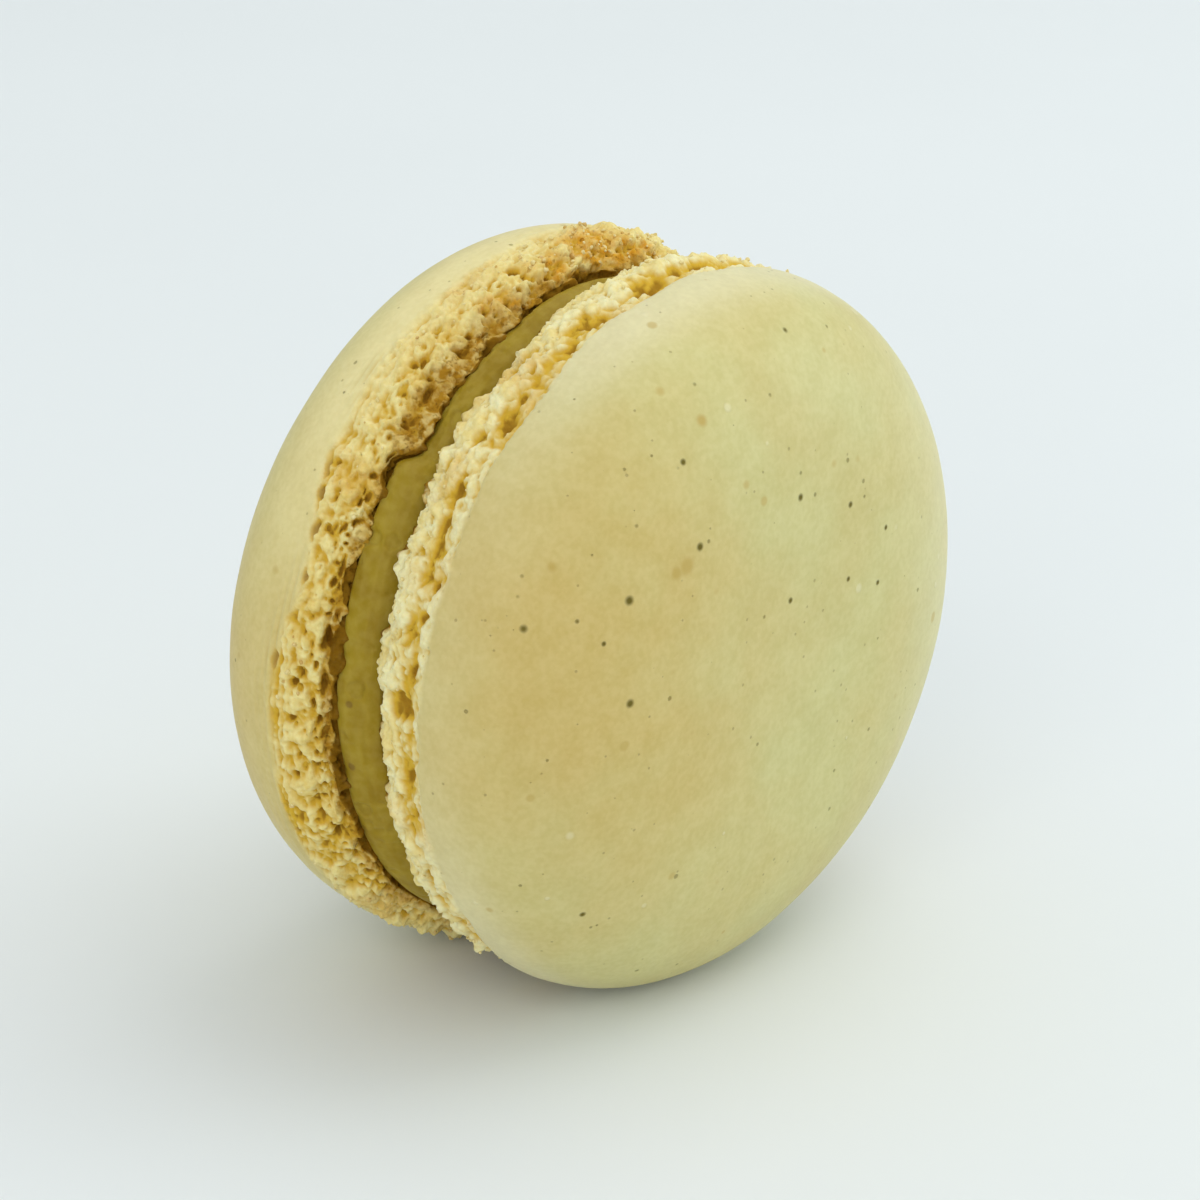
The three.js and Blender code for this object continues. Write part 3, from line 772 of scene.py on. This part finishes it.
back_centre, back_depth = seat(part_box("back_shell"), 1, BACK_WAVES)
back_pits = long_pits(BACK_PITS, 21, 9, 0.6, 1.1, 0.6, 0.5) + long_pits((), 23, 2.6, 0.26, 0.55, 0.42, 0.5)
back_shell = meringue_shell(
    "back_meringue", 1, back_centre, back_depth, BACK_ROOT_RADIUS, BACK_WAVES, 2200, back_pits, BACK_STYLE)
back_shell.data.materials.append(meringue_material(
    "back_baked_meringue", (), (), BACK_GREEN, BACK_PALE, BACK_CREAM, BACK_PEACH))
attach(back_shell, "root")
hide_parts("back_shell")


# ---- Filling ----------------------------------------------------------------------------------------
# Pistachio cream, piped on one shell and pressed flat with the other.  It is smooth and a little
# moist, swells between the feet, and was squeezed out further on the left and at the top.

FILLING_RADIUS, FILLING_BULGE, FILLING_INSET = 20.45, 0.3, 0.25    # bulge half way across, inset at the ends
GRIP = 0.15                                          # past each end of its CAD box, so 0.05 into each shell
SQUEEZE, SQUEEZED_FROM, SQUEEZED_TO = 0.75, NOTCH, 245             # mm, and degrees round the rim
LAP = 0.6                                            # how far it runs up the back foot there
CROWN, CROWN_AT, CROWN_HALF = 0.65, 102, 26          # how much further out it comes at the top
FILLING_SIDES, FILLING_RINGS = 1200, 36
CREAM_OLIVE, CREAM_DEEP, CREAM_BROWN = (0.375, 0.258, 0.014), (0.305, 0.192, 0.008), (0.16, 0.075, 0.008)
PASTE_DARK, PASTE_LIGHT = (0.15, 0.11, 0.02), (0.6, 0.52, 0.2)

fill_low, fill_high = (np.array(corner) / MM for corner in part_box("filling"))
fill_low, fill_high = fill_low - [0, GRIP, 0], fill_high + [0, GRIP, 0]
fill_middle = (fill_low + fill_high) / 2


def cream_disc():
    """A disc whose rim is a squared-off half sine across its thickness, plus ripples along the rim, a
    faint drag mark round it, and the squeezed stretches, which are furthest out by the back shell."""
    turn = (2 * np.pi * np.arange(FILLING_SIDES) / FILLING_SIDES)[None, :]
    share = np.linspace(0, 1, FILLING_RINGS)[:, None]
    degrees = np.degrees(turn)
    squeezed = stretch(degrees, SQUEEZED_FROM - 1.5, SQUEEZED_FROM + 2, SQUEEZED_TO - 25, SQUEEZED_TO)
    across = 1 - (1 - np.sin(np.pi * share)) ** 2.2
    radius = FILLING_RADIUS - FILLING_INSET + (FILLING_BULGE + FILLING_INSET) * across
    squeeze = SQUEEZE * squeezed + CROWN * bell(degrees, CROWN_AT, CROWN_HALF)
    radius = radius + squeeze * smoothstep(share, 0.05, 0.75)
    place = np.stack([radius * np.cos(turn), 2 * share + 0 * turn, radius * np.sin(turn)], axis=-1)
    radius = radius + layered(place, 501, (4.0, 0.12, 0), (1.4, 0.05, 1))
    radius += 0.015 * np.sin(2 * np.pi * share * 5 + 2 * noise(place, 3.0, 503))
    up = share * (fill_high[1] - fill_low[1]) + 0 * turn
    arc = turn * CRUST_RADIUS + 0 * share
    radius -= pores(arc, up, 1.1, 510, 0.16, 0.16) + pores(arc, up, 0.5, 520, 0.12, 0.08)
    along = fill_low[1] + up + LAP * squeezed * smoothstep(share, 0.4, 0.95)
    return fill_middle * [1, 0, 1] + np.stack([radius * np.cos(turn), along, radius * np.sin(turn)], axis=-1)


cream_rim = cream_disc()
cream_inner = cream_rim[[0, -1]] * [0.5, 1, 0.5] + fill_middle * [0.5, 0, 0.5]
cream_ends = [(fill_middle[0], y, fill_middle[2]) for y in (fill_low[1], fill_high[1])]
cream = closed_surface("pistachio_cream", [cream_inner[0], *cream_rim, cream_inner[1]], *cream_ends, 1, {})

material, tree, surface = new_material("pistachio_cream")
tone = tree.mix(tree.ramp(tree.speckle(2.2, 11.0), 0.3, 0.7), CREAM_DEEP, CREAM_OLIVE)
spots = tree.use(flecks, Scale=560.0, Radius=0.16, Share=0.35)["Mask"]
tone = tree.mix(tree.times(spots, 0.7), tone, CREAM_BROWN)
grain = tree.use(crumb_grain, Coarse=1500.0, Fine=5200.0)
tree.fill(surface, {
    "Base Color": tree.mix(0.12, tone, tree.mix(grain["Tone"], PASTE_DARK, PASTE_LIGHT)),
    "Roughness": tree.ramp(grain["Tone"], 0, 1, 0.38, 0.55),
    "Normal": tree.bump(grain["Height"], 0.03),
    "Specular IOR Level": 0.12,
    "Subsurface Weight": 0.25,
    "Subsurface Radius": (1.0, 0.8, 0.35),
    "Subsurface Scale": 1.5 * MM,
})
cream.data.materials.append(material)
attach(cream, "root")
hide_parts("filling")


# ---- Crumbs -----------------------------------------------------------------------------------------
# Baked foam is brittle: grains of it break loose and stick to both feet.  Each is a lumpy pebble of
# eighty faces, sunk into the foot it clings to, so that more than half of it shows.

CRUMBS_EACH = 320
CRUMB_RADIUS = (0.06, 0.17)
CRUMB_LIFT = 0.2                          # how far its middle lies above the surface, in its own radii
CRUMB_SPREAD = 7.3                        # far enough apart in the noise for each to have its own lumps
CRUMB_CREAM, CRUMB_BROWN = (0.83, 0.70, 0.31), (0.60, 0.34, 0.05)
TOOTH_DARK, TOOTH_LIGHT = (0.45, 0.3, 0.1), (1.0, 0.93, 0.7)


def read_points(layer, key, width=1):
    """One value or one row of values for each point of a mesh."""
    values = np.empty(width * len(layer))
    layer.foreach_get(key, values)
    return values if width == 1 else values.reshape(-1, width)


def clinging_crumbs(name, shell, seed, favour, browned):
    """Draws places on a shell's foot, more of them where favour is high, and sets one pebble at each:
    a unit ball stretched and dented by noise, turned and scaled at random, moved onto the surface."""
    mesh = shell.data
    spots = read_points(mesh.vertices, "co", 3) / MM
    lifts = read_points(mesh.vertices, "normal", 3)
    on_foot, low, root = (
        read_points(mesh.attributes[key].data, "value") for key in ("foot", "hollow", "root"))
    height = spots[:, 2] - front_centre[2]
    clear = (np.hypot(spots[:, 0], height) > FILLING_RADIUS + 0.9) * (spots[:, 2] > 0.6)
    weight = (on_foot > 0.95) * (low < 0.3) * (root < 0.25) * clear
    weight = weight * favour(np.degrees(np.arctan2(height, spots[:, 0])) % 360)
    draw = np.random.default_rng(seed)
    chosen = draw.choice(len(spots), CRUMBS_EACH, replace=False, p=weight / weight.sum())

    ball = bmesh.new()
    bmesh.ops.create_icosphere(ball, subdivisions=2, radius=1)
    unit = np.array([v.co for v in ball.verts])
    sides = np.array([[v.index for v in f.verts] for f in ball.faces])
    ball.free()
    size = CRUMB_RADIUS[0] + (CRUMB_RADIUS[1] - CRUMB_RADIUS[0]) * draw.random((CRUMBS_EACH, 1, 1)) ** 2.2
    shape = unit[None] * draw.uniform(0.65, 1.25, (CRUMBS_EACH, 1, 3))
    own = CRUMB_SPREAD * np.arange(CRUMBS_EACH)[:, None, None]
    shape = shape * (1 + 0.4 * noise(unit[None] + own, 0.8, seed + 1)[..., None])
    spin = np.linalg.qr(draw.normal(size=(CRUMBS_EACH, 3, 3)))[0]
    spin *= np.sign(np.linalg.det(spin))[:, None, None]
    shape = np.einsum("nvi,nij->nvj", shape, spin) * size
    points = shape + (spots[chosen] + CRUMB_LIFT * lifts[chosen] * size[:, 0])[:, None, :]
    faces = (sides[None] + len(unit) * np.arange(CRUMBS_EACH)[:, None, None]).reshape(-1, 3).tolist()
    toast = np.repeat(browned * draw.random(CRUMBS_EACH) ** 2, len(unit))
    return new_piece(name, points.reshape(-1, 3), faces, {"toast": toast}, smooth=False)


material, tree, surface = new_material("loose_crumb")
brown = tree.node("ShaderNodeAttribute", attribute_name="toast").outputs["Fac"]
grain = tree.use(crumb_grain, Coarse=4200.0, Fine=9000.0)
tone = tree.mix(tree.ramp(brown, 0.2, 0.9), CRUMB_CREAM, CRUMB_BROWN)
tree.fill(surface, {
    "Base Color": tree.mix(0.2, tone, tree.mix(grain["Tone"], TOOTH_DARK, TOOTH_LIGHT)),
    "Roughness": tree.ramp(grain["Tone"], 0, 1, 0.8, 0.95),
    "Normal": tree.bump(grain["Height"], 0.06),
    "Specular IOR Level": 0.05,
})
for crumb_name, shell, seed, favour, browned in (
        ("front_crumbs", front_shell, 61, lambda degrees: 1 + 0 * degrees, 0.15),
        ("back_crumbs", back_shell, 62, lambda degrees: 1 + 5 * bell(degrees, 82, 16), 0.8)):
    crumbs = clinging_crumbs(crumb_name, shell, seed, favour, browned)
    crumbs.data.materials.append(material)
    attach(crumbs, "root")


# ---- Table ------------------------------------------------------------------------------------------
# A plain pale tabletop that curves up into a backdrop on every side, so that no edge shows.

TABLE_FLAT, TABLE_END, TABLE_RISE = 700.0, 1500.0, 800.0
TABLE_SIDES = 96
TABLE_GREY, TABLE_WHITE = (0.785, 0.81, 0.805), (0.815, 0.84, 0.835)


def table_top():
    """Flat in the middle; beyond, its height follows a quarter circle up to the rim."""
    curve = TABLE_FLAT + (TABLE_END - TABLE_FLAT) * np.linspace(0.05, 1, 24)
    radius = np.concatenate([np.linspace(0, TABLE_FLAT, 12)[1:], curve])[:, None]
    share = np.clip((radius - TABLE_FLAT) / (TABLE_END - TABLE_FLAT), 0, 1)
    height = TABLE_RISE * (1 - np.sqrt(1 - share ** 2))
    turn = 2 * np.pi * np.arange(TABLE_SIDES) / TABLE_SIDES
    points = np.stack([radius * np.cos(turn), radius * np.sin(turn), height + 0 * turn], axis=-1)
    numbers = np.arange(radius.size * TABLE_SIDES).reshape(-1, TABLE_SIDES) + 1
    faces = [f[::-1] for low, high in zip(numbers[:-1], numbers[1:]) for f in band(low, high)]
    faces += [[0, a, b] for a, b in zip(numbers[0], np.roll(numbers[0], -1))]
    return new_piece("table_top", np.concatenate([[[0, 0, 0]], points.reshape(-1, 3)]), faces, {})


table = table_top()
material, tree, surface = new_material("pale_table")
tree.fill(surface, {
    "Base Color": tree.mix(tree.speckle(60.0, 21.0), TABLE_GREY, TABLE_WHITE),
    "Roughness": 0.55,
    "Specular IOR Level": 0.25,
})
table.data.materials.append(material)


# ---- Light and camera -------------------------------------------------------------------------------
# One broad soft lamp above and to the right, one from the front left, the cool glow of a wall low on
# the right, and pale cool daylight all round.  The camera stands close, to the left of the front shell
# and above it.

bpy.context.scene.view_settings.view_transform = "Standard"
world = bpy.data.worlds.new("daylight")
world.use_nodes = True
sky = world.node_tree.nodes["Background"].inputs
sky["Color"].default_value = (0.92, 0.97, 1.0, 1)
sky["Strength"].default_value = 0.785
bpy.context.scene.world = world

middle = Vector((0, 0, (cad_box[0].z + cad_box[1].z) / 2))


def soft_lamp(name, place, size, power, colour):
    """A square area lamp at a place in metres, turned to face the macaron."""
    lamp = bpy.data.lights.new(name, "AREA")
    lamp.size, lamp.energy, lamp.color = size, power, colour
    holder = bpy.data.objects.new(name, lamp)
    holder.location = place
    holder.rotation_euler = (middle - Vector(place)).to_track_quat("-Z", "Y").to_euler()
    bpy.context.scene.collection.objects.link(holder)


soft_lamp("window_lamp", (0.34, -0.10, 0.66), 0.6, 1.4, (1.0, 0.985, 0.95))
soft_lamp("fill_lamp", (-0.62, -0.30, 0.45), 0.5, 1.5, (1.0, 0.97, 0.94))
soft_lamp("wall_glow", (0.62, -0.42, 0.16), 0.5, 1.6, (0.76, 0.90, 1.0))

CAMERA_FROM_EDGE = (-165.2, -131.6, 92.15)  # mm from the middle of the front crust's edge
CAMERA_LENS, CAMERA_ROLL = 112.0, 2.25      # mm on a 36 mm frame; degrees

camera = bpy.data.objects.new("camera", bpy.data.cameras.new("camera"))
camera.location = Vector(front_centre) * MM + Vector(CAMERA_FROM_EDGE) * MM
camera.data.lens = CAMERA_LENS
aim = (middle - camera.location).to_track_quat("-Z", "Y").to_matrix()
camera.rotation_euler = (aim @ Matrix.Rotation(math.radians(CAMERA_ROLL), 3, "Z")).to_euler()
camera.data.clip_start, camera.data.clip_end = 0.01, 10
bpy.context.scene.collection.objects.link(camera)
bpy.context.scene.camera = camera
